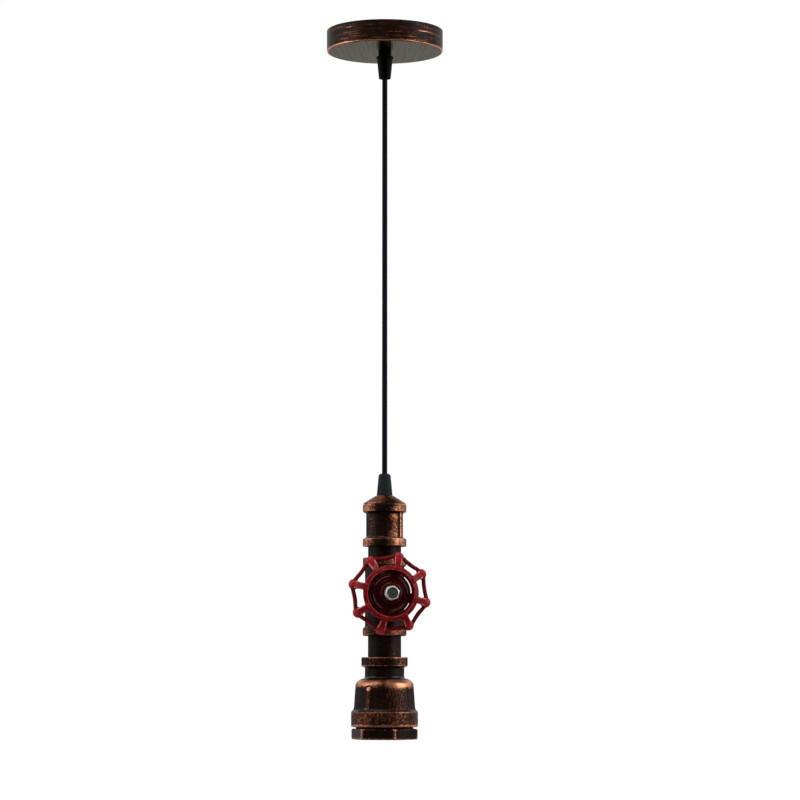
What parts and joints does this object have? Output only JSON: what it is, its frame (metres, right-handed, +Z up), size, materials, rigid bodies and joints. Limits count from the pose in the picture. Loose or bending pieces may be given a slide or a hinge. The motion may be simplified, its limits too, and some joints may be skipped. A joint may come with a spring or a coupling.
{
  "type": "pendant light",
  "caption": "Industrial pendant light: round ceiling rose, black flex and a hanging column of pipe fittings with a handwheel valve and a screw lampholder in a bell reducer.",
  "frame": {"origin": "middle of the ceiling strap's top face, on the ceiling", "axes": "+Z up into the ceiling, the light hangs along -Z, and the handwheel looks along -Y"},
  "size_m": [0.12, 0.1242, 0.7286],
  "materials": {
    "rustic_rose": "black lacquer on steel, dry brushed with copper in rings",
    "rustic_iron": "malleable iron in black lacquer, rubbed with copper on bands and edges",
    "red_enamel": "glossy red enamel on cast metal",
    "zinc_steel": "bright zinc plate",
    "bare_brass": "plain brass",
    "black_nylon": "satin moulded nylon",
    "white_nylon": "moulded nylon",
    "green_nylon": "nylon locking ring",
    "black_flex": "black PVC sheath",
    "core_sheath": "coloured PVC core insulation",
    "graphite_packing": "graphite packing",
    "white_porcelain": "glazed porcelain"
  },
  "bodies": {
    "ceiling": {"ceiling_rose": "rustic_rose", "ceiling_bracket": "zinc_steel", "rose_screws": "zinc_steel", "terminal_block": "white_nylon", "block_tubes": "bare_brass", "block_screws": "zinc_steel", "block_fixing_screw": "zinc_steel", "earth_screw": "bare_brass", "upper_grip_body": "black_nylon", "upper_grip_locknut": "zinc_steel", "upper_grip_cap": "black_nylon", "upper_grip_collet": "black_nylon", "rose_cord": "black_flex", "rose_cores": "core_sheath"},
    "flex": {"cord_flex": "black_flex"},
    "cord": {"pendant_cord": "black_flex"},
    "pipe": {"lower_grip_cap": "black_nylon", "lower_grip_body": "black_nylon", "lower_grip_collet": "black_nylon", "top_plug": "rustic_iron", "top_coupling": "rustic_iron", "upper_nipple": "rustic_iron", "valve_tee": "rustic_iron", "valve_bonnet": "rustic_iron", "gland_packing": "graphite_packing", "gland_nut": "bare_brass", "lower_nipple": "rustic_iron", "bell_reducer": "rustic_iron", "hex_bush": "rustic_iron", "lampholder_body": "white_porcelain", "lampholder_shell": "bare_brass", "lampholder_terminals": "bare_brass", "lampholder_screws": "zinc_steel", "inner_cord": "black_flex", "lampholder_cores": "core_sheath"},
    "wheel": {"handwheel": "red_enamel", "valve_spindle": "zinc_steel", "wheel_washer": "zinc_steel", "wheel_nut": "zinc_steel", "nut_insert": "green_nylon"},
    "contact": {"contact_tongue": "bare_brass"}
  },
  "joints": [
    {"name": "side_swing", "type": "hinge", "parent": "ceiling", "child": "flex", "pos_m": [0, 0, -0.0468], "axis": [0, 1, 0], "range_deg": [-20, 20]},
    {"name": "fore_aft_swing", "type": "hinge", "parent": "flex", "child": "cord", "pos_m": [0, 0, -0.0468], "axis": [1, 0, 0], "range_deg": [-20, 20]},
    {"name": "pendant_turn", "type": "hinge", "parent": "cord", "child": "pipe", "pos_m": [0, 0, -0.469], "axis": [0, 0, 1], "range_deg": [-90, 90], "stiffness_Nm_per_rad": 0.05},
    {"name": "wheel_spin", "type": "hinge", "parent": "pipe", "child": "wheel", "pos_m": [0, -0.04, -0.5818], "axis": [0, -1, 0], "continuous": true},
    {"name": "contact_press", "type": "hinge", "parent": "pipe", "child": "contact", "pos_m": [0.0064, 0, -0.69205], "axis": [0, 1, 0], "range_deg": [0, 8], "stiffness_Nm_per_rad": 0.02}
  ]
}
